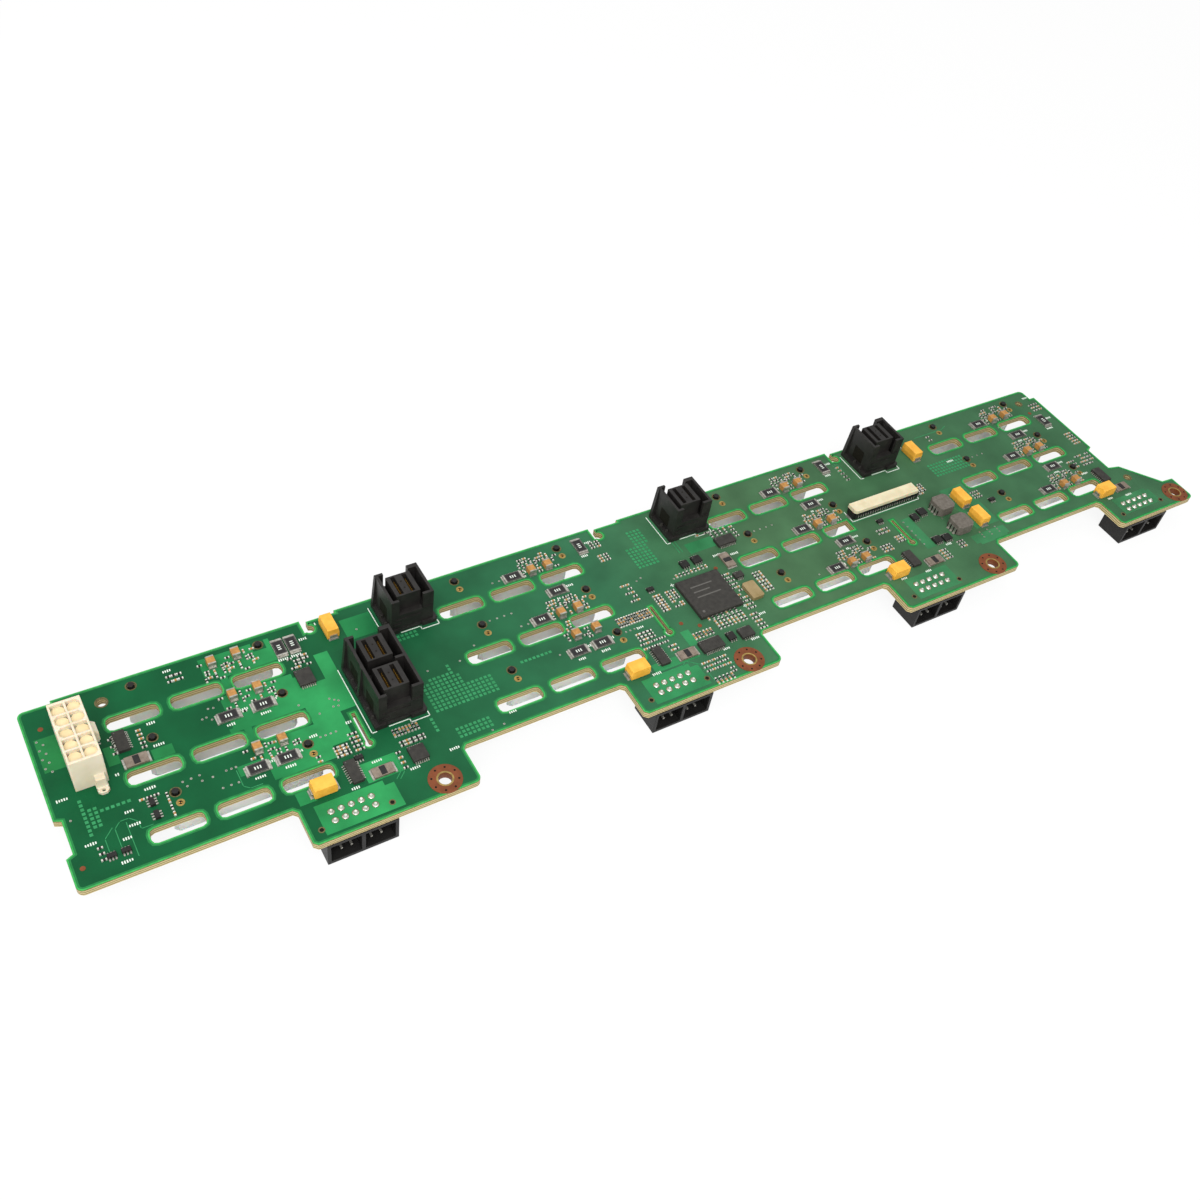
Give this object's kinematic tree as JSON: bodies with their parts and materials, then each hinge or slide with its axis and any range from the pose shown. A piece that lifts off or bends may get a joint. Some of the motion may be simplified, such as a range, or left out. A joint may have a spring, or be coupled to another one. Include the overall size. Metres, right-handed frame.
{
  "type": "drive backplane board",
  "caption": "Long green circuit board that carries a row of drive receptacles underneath, cable ports, a power header and power sockets, with airflow slots and screw tabs.",
  "frame": {"origin": "centre of the bounding box in plan, at the plane that the part rests on, under its sockets and receptacles", "axes": "+X along the board towards its stepped right end, +Y towards its straight back edge, +Z out of the side with the cable ports"},
  "size_m": [0.4196, 0.0778, 0.0258],
  "materials": {
    "solder_mask_green": "green solder mask over glass-epoxy laminate",
    "plated_copper": "bare copper-coloured plating",
    "receptacle_black": "moulded glass-filled polyester",
    "tinned_contact": "bright tin plating",
    "socket_black": "moulded glass-filled polyester",
    "header_ivory": "moulded natural nylon",
    "port_black": "moulded liquid-crystal polymer",
    "ribbon_black": "moulded polyester",
    "ribbon_ivory": "moulded natural nylon",
    "chip_epoxy": "moulded epoxy package",
    "can_gold": "gold-flashed lid",
    "coil_ferrite": "pressed ferrite",
    "tantalum_yellow": "moulded yellow epoxy",
    "shunt_metal": "tinned metal element",
    "resistor_black": "glazed film on ceramic",
    "ceramic_tan": "fired ceramic block"
  },
  "bodies": {
    "root": {"bay_capacitors": "ceramic_tan", "bay_resistors": "resistor_black", "cable_port_1": "port_black", "cable_port_2": "port_black", "cable_port_3": "port_black", "cable_port_double": "port_black", "circuit_board": "solder_mask_green", "controller_chip": "chip_epoxy", "crystal_can": "can_gold", "current_shunts": "shunt_metal", "drive_receptacle_11": "receptacle_black", "drive_receptacle_12": "receptacle_black", "drive_receptacle_13": "receptacle_black", "drive_receptacle_21": "receptacle_black", "drive_receptacle_22": "receptacle_black", "drive_receptacle_23": "receptacle_black", "drive_receptacle_31": "receptacle_black", "drive_receptacle_32": "receptacle_black", "drive_receptacle_33": "receptacle_black", "drive_receptacle_41": "receptacle_black", "drive_receptacle_42": "receptacle_black", "drive_receptacle_43": "receptacle_black", "logic_chips": "chip_epoxy", "power_coil_1": "coil_ferrite", "power_coil_2": "coil_ferrite", "power_header": "header_ivory", "power_header_pins": "tinned_contact", "power_socket_1": "socket_black", "power_socket_2": "socket_black", "power_socket_3": "socket_black", "power_socket_4": "socket_black", "power_socket_pins_1": "tinned_contact", "power_socket_pins_2": "tinned_contact", "power_socket_pins_3": "tinned_contact", "power_socket_pins_4": "tinned_contact", "power_switch_chips": "chip_epoxy", "power_transistors": "chip_epoxy", "ribbon_connector_base": "ribbon_black", "ribbon_connector_insulator": "ribbon_ivory", "screw_eye_1": "plated_copper", "screw_eye_2": "plated_copper", "screw_eye_3": "plated_copper", "screw_eye_4": "plated_copper", "tantalum_capacitor_1": "tantalum_yellow", "tantalum_capacitor_2": "tantalum_yellow", "tantalum_capacitor_3": "tantalum_yellow", "tantalum_capacitor_4": "tantalum_yellow", "tantalum_capacitor_5": "tantalum_yellow", "tantalum_capacitor_6": "tantalum_yellow", "tantalum_capacitor_7": "tantalum_yellow", "tantalum_capacitor_8": "tantalum_yellow", "tantalum_leads": "tinned_contact"}
  },
  "joints": []
}
